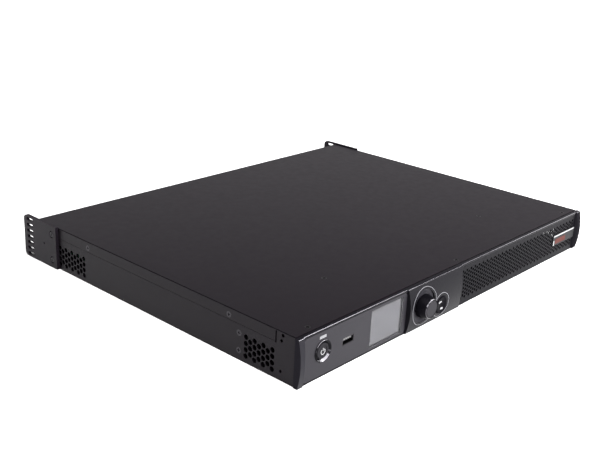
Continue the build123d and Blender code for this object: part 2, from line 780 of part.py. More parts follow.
with BuildPart() as battery_terminals:
    for y in block_ys:
        for x in block_xs:
            for dx in (-66.0, 66.0):
                block((x + dx - 3, x + dx + 3), (y - 38.4, y - 37.6), (block_top, block_top + 2.4))
save(battery_terminals.part, "battery_terminals")

cradle_x = (block_xs[0] - block_x / 2 - 0.9, block_xs[1] + block_x / 2 + 0.3)
cradle_y = (block_ys[0] - block_y / 2 - 0.4, block_ys[1] + block_y / 2 + 0.3)
with BuildPart() as battery_cradle:
    block((cradle_x[0], cradle_x[1] + 1.0), (cradle_y[0], cradle_y[1] + 1.0), (sheet, block_floor))
    block((cradle_x[1], cradle_x[1] + 1.0), (cradle_y[0], cradle_y[1] + 1.0), (sheet, 38.0))
    block((cradle_x[0], cradle_x[1] + 1.0), (cradle_y[1], cradle_y[1] + 1.0), (sheet, 14.0))
save(battery_cradle.part, "battery_cradle")

with BuildPart() as battery_strap:
    block((cradle_x[0], cradle_x[1] + 1.0), (-14.0, -1.0), (38.0, 39.2))
save(battery_strap.part, "battery_strap")


def lead(points, radius, bend):
    """Insulated wire along straight runs joined by arcs."""
    with BuildPart() as wire:
        with BuildLine() as path:
            FilletPolyline(*points, radius=bend)
        start = Plane(origin=path.line @ 0, z_dir=path.line % 0)
        with BuildSketch(start):
            Circle(radius)
        sweep(path=path.line)
    return wire.part


with BuildPart() as battery_leads:
    for y, z in ((-60.0, 30.0), (-54.0, 25.0)):
        add(lead([(cradle_x[1] + 1.0, y, z), (99.0, y, z), (99.0, y, 14.0)], 1.6, 4.0))
save(battery_leads.part, "battery_leads")

# ---- power board --------------------------------------------------------
with BuildPart() as power_board:
    block(power_board_x, power_board_y, board_z)
save(power_board.part, "power_board")

heatsink_y = (-92.0, 20.0)
heatsink_bases = ((112.0, 1), (202.0, -1))
with BuildPart() as heatsinks:
    for base_x, sign in heatsink_bases:
        block(sorted((base_x, base_x + sign * 4.0)), heatsink_y, (board_z[1], 37.0))
        for fin in range(7):
            z = 12.0 + fin * 4.0
            block(sorted((base_x + sign * 4.0, base_x + sign * 19.0)), heatsink_y, (z, z + 1.2))
save(heatsinks.part, "heatsinks")

with BuildPart() as power_transistors:
    for base_x, sign in heatsink_bases:
        for y in (-78.0, -50.0, -22.0, 6.0):
            block(sorted((base_x, base_x - sign * 5.0)), (y - 8, y + 8), (13.0, 33.0))
            for pin in (-5.4, 0.0, 5.4):
                block(sorted((base_x - sign * 2.0, base_x - sign * 2.8)),
                      (y + pin - 0.6, y + pin + 0.6), (board_z[1], 13.0))
save(power_transistors.part, "power_transistors")

power_chokes = [(157.0, y, 12.4, 6.6) for y in (-74.0, -32.0)]
line_chokes = [(x, 114.0, 10.0, 6.0) for x in (80.0, 180.0)]
with BuildPart() as chokes:
    for x, y, ring, wire in power_chokes + line_chokes:
        with Locations((x, y, board_z[1] + wire + 1.0)):
            Torus(ring, wire)
        rod_z(x, y, (board_z[1], board_z[1] + 4.0), ring - wire * 0.5)
save(chokes.part, "chokes")

with BuildPart() as power_transformer:
    block((137.0, 177.0), (-4.0, 30.0), (board_z[1], 12.0))
    block((140.0, 174.0), (-4.0, 0.0), (12.0, 33.0))
    block((140.0, 174.0), (26.0, 30.0), (12.0, 33.0))
    rod_y(157.0, 22.5, (0.0, 26.0), 10.0)
save(power_transformer.part, "power_transformer")

with BuildPart() as capacitors:
    for x in (116.0, 141.0, 166.0, 191.0):
        rod_z(x, 58.0, (board_z[1], 35.5), 11.0)
    rims = capacitors.edges().filter_by(GeomType.CIRCLE).group_by(Axis.Z)[-1]
    fillet(rims, 1.0)
    for x in (110.0, 128.0, 146.0):
        block((x - 6, x + 6), (100.0, 126.0), (board_z[1], 27.0))
save(capacitors.part, "capacitors")

# ---- output board -------------------------------------------------------
with BuildPart() as output_board:
    block(output_board_x, output_board_y, board_z)
save(output_board.part, "output_board")

with BuildPart() as relays:
    for x in (-40.0, -22.0, -4.0, 14.0, 32.0):
        block((x - 6.5, x + 6.5), (98.0, 127.0), (board_z[1], 29.0))
save(relays.part, "relays")

# ---- communications board -----------------------------------------------
with BuildPart() as comms_board:
    block(comms_board_x, comms_board_y, board_z)
    block((-170.0, -150.0), (120.0, 140.0), (board_z[1], board_z[1] + 1.6))
    block((-130.0, -116.0), (122.0, 136.0), (board_z[1], board_z[1] + 1.6))
save(comms_board.part, "comms_board")

# posts under the three boards, and those that hold the control board
post_radius = 2.6
with BuildPart() as board_posts:
    for x in (power_board_x[0] + 5, power_board_x[1] - 5):
        for y in (power_board_y[0] + 6, middle(power_board_y), power_board_y[1] - 6):
            rod_z(x, y, (sheet, board_z[0]), post_radius)
    for x in (output_board_x[0] + 5, middle(output_board_x), output_board_x[1] - 5):
        for y in (output_board_y[0] + 5, output_board_y[1] - 5):
            rod_z(x, y, (sheet, board_z[0]), post_radius)
    for x in (comms_board_x[0] + 5, comms_board_x[1] - 5):
        for y in (comms_board_y[0] + 5, comms_board_y[1] - 6):
            rod_z(x, y, (sheet, board_z[0]), post_radius)
    for x, z in ((-201.5, 8.0), (-176.0, 8.0), (-84.5, 33.0), (-21.5, 33.0)):
        rod_y(x, z, (subpanel_y[1], control_board_y[0]), post_radius)
save(board_posts.part, "board_posts")

# ---- rear panel ---------------------------------------------------------
rear_panel_y = (rear_y - panel_sheet, rear_y)
inlet_hole = (27.6, 20.4)
outlet_hole = (28.6, 21.4)
network_size = (31.5, 13.6)
network_z = board_z[1] + network_size[1] / 2
usb_b_size = (12.2, 11.0)
usb_b_z = board_z[1] + usb_b_size[1] / 2
serial_z = 16.4
stop_z = board_z[1] + 5.0
with BuildPart() as rear_panel:
    with BuildSketch(facing_rear(0, rear_panel_y[0], 0)):
        low = inner - 0.1
        high = inset - sheet - 0.1
        with BuildLine():
            Polyline((-low, sheet), (low, sheet), (low, joggle_z - sheet - 0.1),
                     (high, joggle_z - sheet - 0.1), (high, cover_underside - 0.1),
                     (-high, cover_underside - 0.1), (-high, joggle_z - sheet - 0.1),
                     (-low, joggle_z - sheet - 0.1), close=True)
        make_face()
    extrude(amount=panel_sheet)
    block((-high, high), (156.0, rear_panel_y[0]),
          (cover_underside - 0.1 - panel_sheet, cover_underside - 0.1))
    through = (rear_panel_y[0] - 1, rear_panel_y[1] + 1)
    block((inlet_x - inlet_hole[0] / 2, inlet_x + inlet_hole[0] / 2), through,
          (power_row_z - inlet_hole[1] / 2, power_row_z + inlet_hole[1] / 2), mode=Mode.SUBTRACT)
    for x in outlet_xs:
        block((x - outlet_hole[0] / 2, x + outlet_hole[0] / 2), through,
              (power_row_z - outlet_hole[1] / 2, power_row_z + outlet_hole[1] / 2),
              mode=Mode.SUBTRACT)
    rod_y(breaker_x, power_row_z, through, 6.05, mode=Mode.SUBTRACT)
    block((slot_cover_x[0] + 5, slot_cover_x[1] - 5), through, (11.0, 30.0), mode=Mode.SUBTRACT)
    for x in slot_screw_xs:
        rod_y(x, power_row_z, through, shank_hole, mode=Mode.SUBTRACT)
    block((usb_b_x - 6.2, usb_b_x + 6.2), through,
          (board_z[1] - 0.1, board_z[1] + usb_b_size[1] + 0.1), mode=Mode.SUBTRACT)
    block((serial_x - 9.6, serial_x + 9.6), through, (serial_z - 5.6, serial_z + 5.6),
          mode=Mode.SUBTRACT)
    block((network_x - network_size[0] / 2 - 0.1, network_x + network_size[0] / 2 + 0.1), through,
          (board_z[1] - 0.1, board_z[1] + network_size[1] + 0.1), mode=Mode.SUBTRACT)
    block((stop_terminal_x - 6.1, stop_terminal_x + 6.1), through, (board_z[1] - 0.1, 19.1),
          mode=Mode.SUBTRACT)
    rod_y(ground_x, power_row_z, through, 2.05, mode=Mode.SUBTRACT)
    with BuildSketch(facing_rear(0, rear_panel_y[0] - 1, 0)):
        for column in range(rear_hole_columns):
            short = column % 2
            for row in range(2 - short):
                x = rear_hole_first_x + column * rear_hole_pitch_x
                with Locations((x, rear_hole_low_z + (row + 0.5 * short) * rear_hole_pitch_z)):
                    Circle(rear_hole_radius)
    extrude(amount=panel_sheet + 2, mode=Mode.SUBTRACT)
save(rear_panel.part, "rear_panel")

# ---- rear connectors ----------------------------------------------------
pin_width = 4.0
pin_thick = 2.0


def chamfered_slot(width, height, cut, mode):
    """Rectangle with its two upper corners cut off."""
    w = width / 2
    h = height / 2
    with BuildLine() as outline:
        Polyline((-w, -h), (w, -h), (w, h - cut), (w - cut, h), (-w + cut, h), (-w, h - cut),
                 close=True)
    make_face(outline.edges(), mode=mode)


with BuildPart(facing_rear(inlet_x, rear_y, power_row_z)) as ac_inlet:
    with Locations((0, 0, 1.0)):
        Box(31.0, 24.0, 2.0)
    with Locations((0, 0, -10.0)):
        Box(27.2, 20.0, 20.0)
    with BuildSketch(facing_rear(inlet_x, rear_y + 2.0, power_row_z)):
        chamfered_slot(24.4, 17.0, 4.5, Mode.ADD)
    extrude(amount=-18.0, mode=Mode.SUBTRACT)
save(ac_inlet.part, "ac_inlet")

with BuildPart() as inlet_pins:
    for dx, dz in ((-7.0, -2.0), (0.0, 2.0), (7.0, -2.0)):
        x = inlet_x + dx
        z = power_row_z + dz
        block((x - pin_thick / 2, x + pin_thick / 2), (rear_y - 16.0, rear_y - 1.0),
              (z - pin_width / 2, z + pin_width / 2))
save(inlet_pins.part, "inlet_pins")

with BuildPart() as outlets:
    for x in outlet_xs:
        block((x - 16.0, x + 16.0), (rear_y, rear_y + 1.8), (power_row_z - 12.5, power_row_z + 12.5))
        block((x - 14.1, x + 14.1), (rear_y - 24.0, rear_y),
              (power_row_z - 10.5, power_row_z + 10.5))
    with BuildSketch(facing_rear(0, rear_y + 1.8, power_row_z)):
        for x in outlet_xs:
            with Locations((-x, 0)):
                chamfered_slot(25.2, 18.0, 4.5, Mode.ADD)
                chamfered_slot(22.8, 15.6, 4.0, Mode.SUBTRACT)
    extrude(amount=-13.0, mode=Mode.SUBTRACT)
    with BuildSketch(facing_rear(0, rear_y + 1.8, power_row_z)):
        for x in outlet_xs:
            for dx, dz in ((-7.0, -2.0), (0.0, 2.4), (7.0, -2.0)):
                with Locations((dx - x, dz)):
                    Rectangle(2.6, 5.0)
    extrude(amount=-12.0, mode=Mode.SUBTRACT)
save(outlets.part, "outlets")

# ---- circuit breaker with a button that pops out ------------------------
with BuildPart(facing_rear(breaker_x, rear_y, power_row_z)) as breaker_body:
    with Locations((0, 0, -panel_sheet - 11.0)):
        Box(13.0, 20.0, 22.0)
    with Locations((0, 0, -panel_sheet / 2)):
        Cylinder(6.0, panel_sheet)
    with BuildSketch(facing_rear(breaker_x, rear_y, power_row_z)):
        RegularPolygon(8.2, 6)
    extrude(amount=2.0)
    with Locations((0, 0, -3.0)):
        Cylinder(3.6, 10.0, mode=Mode.SUBTRACT)
save(breaker_body.part, "breaker_body")

with BuildPart(facing_rear(breaker_x, rear_y, power_row_z)) as breaker_button:
    with Locations((0, 0, -1.5)):
        Cylinder(3.3, 12.0)
    tip = breaker_button.edges().filter_by(GeomType.CIRCLE).group_by(Axis.Y)[-1]
    fillet(tip, 0.6)
save(breaker_button.part, "breaker_button")

# ---- expansion slot cover -----------------------------------------------
with BuildPart() as slot_cover:
    block(slot_cover_x, (rear_y, rear_y + 1.0), (8.5, 32.5))
    for x in slot_screw_xs:
        rod_y(x, power_row_z, (rear_y - 1, rear_y + 2), shank_hole, mode=Mode.SUBTRACT)
save(slot_cover.part, "slot_cover")

slot_planes = []
for x in slot_screw_xs:
    slot_planes.append(facing_rear(x, rear_y + 1.0, power_row_z))
save(screw_group(ear_planes + slot_planes, 6.6, pan=1.6), "pan_screws")

# ---- signal connectors --------------------------------------------------
with BuildPart() as usb_b_port:
    block((usb_b_x - 6.0, usb_b_x + 6.0), (152.0, rear_y + 0.6),
          (board_z[1], board_z[1] + usb_b_size[1]))
    block((usb_b_x - 4.3, usb_b_x + 4.3), (158.0, rear_y + 1.0), (usb_b_z - 4.0, usb_b_z + 4.0),
          mode=Mode.SUBTRACT)
    block((usb_b_x - 2.8, usb_b_x + 2.8), (158.0, rear_y - 0.8), (usb_b_z - 1.6, usb_b_z + 1.6))
save(usb_b_port.part, "usb_b_port")

with BuildPart() as serial_port:
    block((serial_x - 15.4, serial_x + 15.4), (rear_y, rear_y + 1.0),
          (serial_z - 6.2, serial_z + 6.2))
    block((serial_x - 9.3, serial_x + 9.3), (156.0, rear_y), (board_z[1] + 2.4, serial_z + 5.4))
    block((serial_x - 8.3, serial_x + 8.3), (rear_y + 1.0, rear_y + 5.5),
          (serial_z - 4.1, serial_z + 4.1))
    block((serial_x - 9.3, serial_x + 9.3), (150.0, 156.0), (board_z[1], serial_z + 5.4))
    for row, count, z in ((0, 5, serial_z + 1.4), (1, 4, serial_z - 1.4)):
        for pin in range(count):
            x = serial_x + (pin - (count - 1) / 2) * 2.77
            rod_y(x, z, (rear_y + 1.5, rear_y + 6.0), 0.65, mode=Mode.SUBTRACT)
save(serial_port.part, "serial_port")

jack_offset = 7.7
with BuildPart() as network_ports:
    block((network_x - network_size[0] / 2, network_x + network_size[0] / 2),
          (148.0, rear_y + 0.6), (board_z[1], board_z[1] + network_size[1]))
    for x in (network_x - jack_offset, network_x + jack_offset):
        block((x - 5.9, x + 5.9), (154.0, rear_y + 1.0), (network_z - 4.2, network_z + 3.6),
              mode=Mode.SUBTRACT)
        block((x - 3.2, x + 3.2), (160.0, rear_y + 1.0), (network_z + 3.6, network_z + 5.2),
              mode=Mode.SUBTRACT)
save(network_ports.part, "network_ports")

with BuildPart() as stop_terminal:
    block((stop_terminal_x - 6.0, stop_terminal_x + 6.0), (156.0, rear_y + 1.2),
          (board_z[1], board_z[1] + 10.2))
    for dx in (-2.8, 2.8):
        block((stop_terminal_x + dx - 1.8, stop_terminal_x + dx + 1.8),
              (160.0, rear_y + 2.0), (board_z[1] + 1.4, board_z[1] + 5.2), mode=Mode.SUBTRACT)
        rod_y(stop_terminal_x + dx, board_z[1] + 7.6, (rear_y - 0.5, rear_y + 2), 1.3,
              mode=Mode.SUBTRACT)
save(stop_terminal.part, "stop_terminal")

with BuildPart() as ground_stud:
    rod_y(ground_x, power_row_z, (rear_y - 5.0, rear_y + 5.5), 2.0)
    with BuildSketch(facing_rear(ground_x, rear_y, power_row_z)):
        RegularPolygon(4.2, 6)
    extrude(amount=2.2)
    with BuildSketch(facing_rear(ground_x, rear_panel_y[0], power_row_z)):
        RegularPolygon(4.2, 6)
    extrude(amount=-2.0)
save(ground_stud.part, "ground_stud")

# ---- rear ears ----------------------------------------------------------
for side, name in ((-1, "ear_left"), (1, "ear_right")):
    with BuildPart() as ear:
        with BuildSketch(Plane.YZ.offset(side * side_x)):
            with Locations((middle(ear_y), ear_top / 2)):
                Rectangle(ear_y[1] - ear_y[0], ear_top)
            for number in range(ear_slots):
                with Locations((ear_slot_y, ear_slot_first_z + number * ear_slot_pitch)):
                    SlotOverall(*ear_slot_size, mode=Mode.SUBTRACT)
            with Locations(*side_rear_holes):
                Circle(side_hole_radius, mode=Mode.SUBTRACT)
            with Locations(ear_small_hole_at):
                Circle(ear_small_hole_radius, mode=Mode.SUBTRACT)
        extrude(amount=side * ear_thick)
        with BuildSketch(Plane.YZ.offset(side * (side_x + ear_thick))):
            with Locations(*side_rear_holes):
                SlotOverall(*ear_recess_size, rotation=90)
        extrude(amount=-side * ear_recess_depth, mode=Mode.SUBTRACT)
        corners = ear.edges().filter_by(Axis.X).group_by(Axis.Y)[-1]
        fillet(corners, ear_corner)
    save(ear.part, name)
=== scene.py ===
import bpy
import bmesh
import math
from mathutils import Matrix, Vector


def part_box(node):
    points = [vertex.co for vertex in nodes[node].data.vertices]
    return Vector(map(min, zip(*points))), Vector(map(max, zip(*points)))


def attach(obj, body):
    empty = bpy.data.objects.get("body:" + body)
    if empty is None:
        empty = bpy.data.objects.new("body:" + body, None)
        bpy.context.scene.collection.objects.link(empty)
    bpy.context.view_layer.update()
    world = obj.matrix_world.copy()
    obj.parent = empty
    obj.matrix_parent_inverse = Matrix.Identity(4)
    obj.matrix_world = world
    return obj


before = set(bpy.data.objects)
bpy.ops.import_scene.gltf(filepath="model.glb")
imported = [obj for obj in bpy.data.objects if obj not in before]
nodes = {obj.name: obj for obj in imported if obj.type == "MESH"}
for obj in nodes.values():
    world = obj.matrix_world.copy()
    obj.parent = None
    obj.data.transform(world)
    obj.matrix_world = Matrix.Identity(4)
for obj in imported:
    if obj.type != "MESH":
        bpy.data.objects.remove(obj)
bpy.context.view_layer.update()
MM = 0.001
SAME_POINT = 1e-7   # points nearer than this are merged


def centre(node):
    """Middle of a part's box, read from the frame."""
    low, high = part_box(node)
    return (low + high) / 2


# ---- mesh helpers ---------------------------------------------------------
RING_STEPS = 40
CORNER_STEPS = 5


def mesh_object(name, verts, faces):
    """A new flat-shaded object from points in metres, with its faces wound outwards."""
    mesh = bpy.data.meshes.new(name)
    mesh.from_pydata([tuple(v) for v in verts], [], faces)
    work = bmesh.new()
    work.from_mesh(mesh)
    bmesh.ops.remove_doubles(work, verts=work.verts, dist=SAME_POINT)
    bmesh.ops.recalc_face_normals(work, faces=work.faces)
    work.to_mesh(mesh)
    work.free()
    for polygon in mesh.polygons:
        polygon.use_smooth = False
    obj = bpy.data.objects.new(name, mesh)
    bpy.context.scene.collection.objects.link(obj)
    return obj


def plate(name, front_points, back_points):
    """A plate between two outlines that have the same number of points."""
    count = len(front_points)
    faces = [list(range(count)), list(range(2 * count - 1, count - 1, -1))]
    for i in range(count):
        j = (i + 1) % count
        faces.append([i, j, count + j, count + i])
    return mesh_object(name, front_points + back_points, faces)


def front_prism(name, outline, front, depth):
    """A plate from an (x, z) outline; its front face is at y = front."""
    return plate(name, [(x, front, z) for x, z in outline],
                 [(x, front + depth, z) for x, z in outline])


def arc_points(cx, cz, radius, start, end, steps):
    """Points along an arc round (cx, cz) in the x-z plane; the angles are in degrees."""
    points = []
    for i in range(steps + 1):
        angle = math.radians(start + (end - start) * i / steps)
        points.append((cx + radius * math.cos(angle), cz + radius * math.sin(angle)))
    return points


def ring_arc(cx, cz, outer, inner, start, end):
    """Outline of an open ring between two angles."""
    return (arc_points(cx, cz, outer, start, end, RING_STEPS)
            + arc_points(cx, cz, inner, end, start, RING_STEPS))


def rounded_box(x, z, radius):
    """Outline of a rounded rectangle between x and z limits."""
    outline = []
    corners = ((x[1] - radius, z[1] - radius, 0), (x[0] + radius, z[1] - radius, 90),
               (x[0] + radius, z[0] + radius, 180), (x[1] - radius, z[0] + radius, 270))
    for cx, cz, start in corners:
        outline += arc_points(cx, cz, radius, start, start + 90, CORNER_STEPS)
    return outline


# ---- material helpers -----------------------------------------------------
LEAST_ROUGHNESS = 0.02
COAT_TINT = (0.98, 0.92, 1.0, 1.0)
PLASTIC_TINT = (0.95, 0.91, 1.0, 1.0)


class Shader:
    """A Principled material whose pattern is laid out in the object's metres."""

    def __init__(self, name, colour, roughness, metallic=0.0, **sockets):
        self.material = bpy.data.materials.new(name)
        self.material.use_nodes = True
        self.tree = self.material.node_tree
        self.surface = self.tree.nodes["Principled BSDF"]
        self.colour = colour
        self.roughness = roughness
        self.set("Base Color", (*colour, 1.0))
        self.set("Roughness", roughness)
        self.set("Metallic", metallic)
        for socket, value in sockets.items():
            self.set(socket.replace("_", " "), value)
        self.place = self.tree.nodes.new("ShaderNodeTexCoord").outputs["Object"]

    def set(self, socket, value):
        """Give one of the surface's sockets a plain value."""
        self.surface.inputs[socket].default_value = value

    def link(self, source, socket):
        """Drive one of the surface's sockets with a pattern."""
        self.tree.links.new(source, self.surface.inputs[socket])

    def noise(self, scale, detail, stretch=(1, 1, 1)):
        """Soft noise, its scale in waves per metre, squeezed along an axis by a stretch over 1."""
        place = self.place
        if stretch != (1, 1, 1):
            mapping = self.tree.nodes.new("ShaderNodeMapping")
            mapping.inputs["Scale"].default_value = stretch
            self.tree.links.new(place, mapping.inputs["Vector"])
            place = mapping.outputs["Vector"]
        node = self.tree.nodes.new("ShaderNodeTexNoise")
        node.inputs["Scale"].default_value = scale
        node.inputs["Detail"].default_value = detail
        self.tree.links.new(place, node.inputs["Vector"])
        return node.outputs["Fac"]

    def cells(self, scale, randomness):
        """Distance from the middle of each cell of a cell pattern."""
        node = self.tree.nodes.new("ShaderNodeTexVoronoi")
        node.inputs["Scale"].default_value = scale
        node.inputs["Randomness"].default_value = randomness
        self.tree.links.new(self.place, node.inputs["Vector"])
        return node.outputs["Distance"]

    def spread(self, source, low, high, start=0.3, stop=0.7):
        """Map a pattern's start-to-stop range onto low-to-high."""
        node = self.tree.nodes.new("ShaderNodeMapRange")
        node.inputs["From Min"].default_value = start
        node.inputs["From Max"].default_value = stop
        node.inputs["To Min"].default_value = low
        node.inputs["To Max"].default_value = high
        self.tree.links.new(source, node.inputs["Value"])
        return node.outputs["Result"]

    def mix(self, factor, first, second):
        """Blend from the first colour to the second by a pattern."""
        node = self.tree.nodes.new("ShaderNodeMix")
        node.data_type = "RGBA"
        for socket, value in (("A", first), ("B", second)):
            target = [i for i in node.inputs if i.name == socket and i.type == "RGBA"][0]
            target.default_value = (*value, 1.0)
        self.tree.links.new(factor, node.inputs["Factor"])
        return [o for o in node.outputs if o.type == "RGBA"][0]

    def vary_colour(self, source, low, high, start=0.3, stop=0.7):
        """Run the colour from low to high times its own value along a pattern."""
        darker = tuple(c * low for c in self.colour)
        lighter = tuple(min(c * high, 1.0) for c in self.colour)
        self.link(self.mix(self.spread(source, 0, 1, start, stop), darker, lighter), "Base Color")

    def vary_roughness(self, source, amount):
        """Vary the roughness either way by an amount, and never down to a mirror."""
        low = max(self.roughness - amount, LEAST_ROUGHNESS)
        self.link(self.spread(source, low, self.roughness + amount), "Roughness")

    def bump(self, source, strength, depth_mm):
        """Raise the surface by a pattern."""
        node = self.tree.nodes.new("ShaderNodeBump")
        node.inputs["Strength"].default_value = strength
        node.inputs["Distance"].default_value = depth_mm * MM
        self.tree.links.new(source, node.inputs["Height"])
        self.link(node.outputs["Normal"], "Normal")


def powder_coat(name, colour, roughness, gloss):
    """Fine-textured powder coat: a tight orange peel over a faint mottling."""
    shader = Shader(name, colour, roughness, Specular_IOR_Level=gloss, Specular_Tint=COAT_TINT)
    mottling = shader.noise(30.0, 4.0)
    sheen = shader.noise(160.0, 5.0)
    orange_peel = shader.noise(1500.0, 2.0)
    shader.vary_colour(mottling, 0.97, 1.03)
    shader.vary_roughness(sheen, 0.02)
    shader.bump(orange_peel, 0.25, 0.03)
    return shader.material


def moulded(name, colour, roughness, grain, **sockets):
    """Moulded plastic with a spark-eroded grain, or none where grain is 0."""
    shader = Shader(name, colour, roughness, Specular_Tint=PLASTIC_TINT, **sockets)
    mottling = shader.noise(70.0, 3.0)
    sheen = shader.noise(240.0, 4.0)
    shader.vary_colour(mottling, 0.97, 1.03)
    shader.vary_roughness(sheen, 0.02)
    if grain:
        shader.bump(shader.noise(2400.0, 2.0), grain, 0.03)
    return shader.material


def metal(name, colour, roughness, stretch, grain=0.2):
    """Bare or plated metal with fine streaks along one direction."""
    shader = Shader(name, colour, roughness, 1.0)
    streaks = shader.noise(420.0, 5.0, stretch)
    shader.vary_colour(streaks, 0.88, 1.08)
    shader.vary_roughness(streaks, 0.08)
    shader.bump(streaks, grain, 0.02)
    return shader.material


def winding(name, colour):
    """Enamelled copper wire laid side by side."""
    shader = Shader(name, colour, 0.3, 0.8)
    turns = shader.noise(900.0, 1.0, (1, 0.1, 1))
    shader.vary_colour(turns, 0.6, 1.2)
    shader.bump(turns, 0.6, 0.4)
    return shader.material


def circuit_board(name, colour):
    """Solder mask with the faint relief of tracks under it."""
    shader = Shader(name, colour, 0.35)
    tracks = shader.cells(260.0, 0.6)
    shader.vary_colour(tracks, 0.7, 1.3, 0.0, 0.8)
    shader.bump(tracks, 0.3, 0.05)
    return shader.material


def lit(material, strength):
    """Give a material a white glow of its own."""
    surface = material.node_tree.nodes["Principled BSDF"]
    surface.inputs["Emission Color"].default_value = (1, 1, 1, 1)
    surface.inputs["Emission Strength"].default_value = strength


# ---- materials ------------------------------------------------------------
# powder_coat: colour, roughness, gloss; moulded: colour, roughness, grain; metal: colour,
# roughness, stretch, grain. Colours are very dark because the lit floor and the sun are bright.
case_paint = powder_coat("case powder coat", (0.0050, 0.0038, 0.0053), 0.37, 0.09)
ear_paint = powder_coat("ear powder coat", (0.0068, 0.0052, 0.0074), 0.42, 0.09)
# painted shade: the divider inside is painted near black for the shade seen through the vents
interior_shade_paint = powder_coat("interior painted shade", (0.006, 0.006, 0.007), 0.5, 0.1)
bezel_plastic = moulded("bezel plastic", (0.0032, 0.0029, 0.0044), 0.20, 0.1,
                        Specular_IOR_Level=0.055)
# painted highlight: a lighter, glossier copy of the bezel plastic for its top edge
bezel_edge_highlight = moulded("bezel top edge painted highlight", (0.0090, 0.0082, 0.0105), 0.16, 0.0)
dish_plastic = moulded("dish plastic", (0.030, 0.0285, 0.034), 0.40, 0.1, Specular_IOR_Level=0.03)
# painted shade: near black with no reflection, for walls, edges, hollows and parts that sit in
# shade
shade_black = moulded("painted shade black", (0.0040, 0.0038, 0.0048), 0.60, 0.1, Specular_IOR_Level=0.0)
# painted shade: a dull, matt copy of the bezel plastic for its end faces
bezel_ends_shade = moulded("bezel ends painted shade", (0.0090, 0.0082, 0.0108), 0.50, 0.1,
                     Specular_IOR_Level=0.01)
# painted highlight and painted shade: a lighter copy of the bezel plastic for the left end, a matt
# one for the right end
left_end_highlight = moulded("bezel left end painted highlight", (0.0125, 0.0120, 0.0150), 0.20, 0.1, Specular_IOR_Level=0.055)
right_end_shade = moulded("bezel right end painted shade", (0.0100, 0.0095, 0.0115), 0.50, 0.1, Specular_IOR_Level=0.0)
# painted shade: a dark matt copy of the paint for the ears' front edges
ear_edge_shade = moulded("ear edge painted shade", (0.0100, 0.0080, 0.0110), 0.60, 0.1, Specular_IOR_Level=0.0)
insert_plastic = moulded("insert plastic", (0.0160, 0.0150, 0.0182), 0.34, 0.15,
                         Specular_IOR_Level=0.09)
grille_paint = moulded("grille plastic", (0.0036, 0.0033, 0.0046), 0.36, 0.15,
                       Specular_IOR_Level=0.030)
zinc = metal("zinc plated sheet", (0.50, 0.51, 0.52), 0.38, (1, 12, 1))
nickel = metal("nickel plate", (0.36, 0.355, 0.34), 0.30, (1, 6, 1), 0.1)
black_oxide = metal("black oxide steel", (0.034, 0.032, 0.036), 0.38, (1, 1, 1), 0.3)
# painted shade: the USB socket's shell is a near-black nickel, for the shade inside its opening
shaded_nickel = metal("nickel with painted shade", (0.030, 0.029, 0.032), 0.35, (1, 6, 1), 0.1)
brass = metal("turned brass", (0.70, 0.52, 0.25), 0.25, (8, 1, 1))
aluminium = metal("extruded aluminium", (0.62, 0.62, 0.63), 0.35, (10, 1, 10))
black_nylon = moulded("black nylon", (0.018, 0.018, 0.019), 0.48, 0.3)
green_nylon = moulded("green nylon", (0.03, 0.20, 0.07), 0.42, 0.3)
knob_black = moulded("knob black", (0.0026, 0.0024, 0.0034), 0.34, 0.0, Specular_IOR_Level=0.02)
# painted highlight: a lighter, glossier copy of the knob plastic for the rim round its face
knob_rim_highlight = moulded("knob rim painted highlight", (0.0100, 0.0095, 0.0115), 0.16, 0.0)
ring_black = moulded("ring black", (0.0050, 0.0050, 0.0060), 0.30, 0.0, Specular_IOR_Level=0.04)
# painted highlight: a glossy bevel laid only on the ring's lower inner faces, where the glint falls
ring_bevel_glint = moulded("ring bevel painted glint", (0.0040, 0.0040, 0.0050), 0.16, 0.0, Specular_IOR_Level=0.7)
button_black = moulded("button black", (0.0100, 0.0096, 0.0115), 0.30, 0.0, Specular_IOR_Level=0.05)
escape_black = moulded("escape black", (0.0032, 0.0030, 0.0042), 0.30, 0.0, Specular_IOR_Level=0.01)
breaker_black = moulded("breaker black", (0.008, 0.008, 0.009), 0.20, 0.0)
knob_disc = moulded("knob disc", (0.0150, 0.0143, 0.0170), 0.30, 0.1, Specular_IOR_Level=0.05)
line_paint = moulded("line paint", (0.130, 0.128, 0.139), 0.40, 0.0, Specular_IOR_Level=0.2)
# white print, and the painted highlight on the small button
white_print_and_glint = moulded("white print and painted glint", (0.30, 0.30, 0.305), 0.45, 0.0)
red_ink = moulded("red ink", (0.070, 0.0190, 0.0150), 0.45, 0.0, Specular_IOR_Level=0.04)
grey_ink = moulded("grey ink", (0.022, 0.0222, 0.0232), 0.45, 0.0, Specular_IOR_Level=0.04)
board_green = circuit_board("solder mask", (0.02, 0.11, 0.05))
battery_abs = moulded("battery case", (0.10, 0.10, 0.11), 0.5, 0.3)
lead_red = moulded("lead insulation", (0.30, 0.015, 0.015), 0.4, 0.0)
copper = winding("enamelled copper", (0.55, 0.25, 0.09))
module_black = moulded("module plastic", (0.03, 0.03, 0.033), 0.45, 0.2)
screen_grey = moulded("display face", (0.074, 0.073, 0.081), 0.30, 0.0, Specular_IOR_Level=0.1)
light_pipe = moulded("light pipe", (0.165, 0.167, 0.174), 0.25, 0.0)
lit(light_pipe, 0.02)
lens_clear = moulded("lens", (0.20, 0.20, 0.21), 0.10, 0.0, Alpha=0.12, Specular_IOR_Level=0.2)

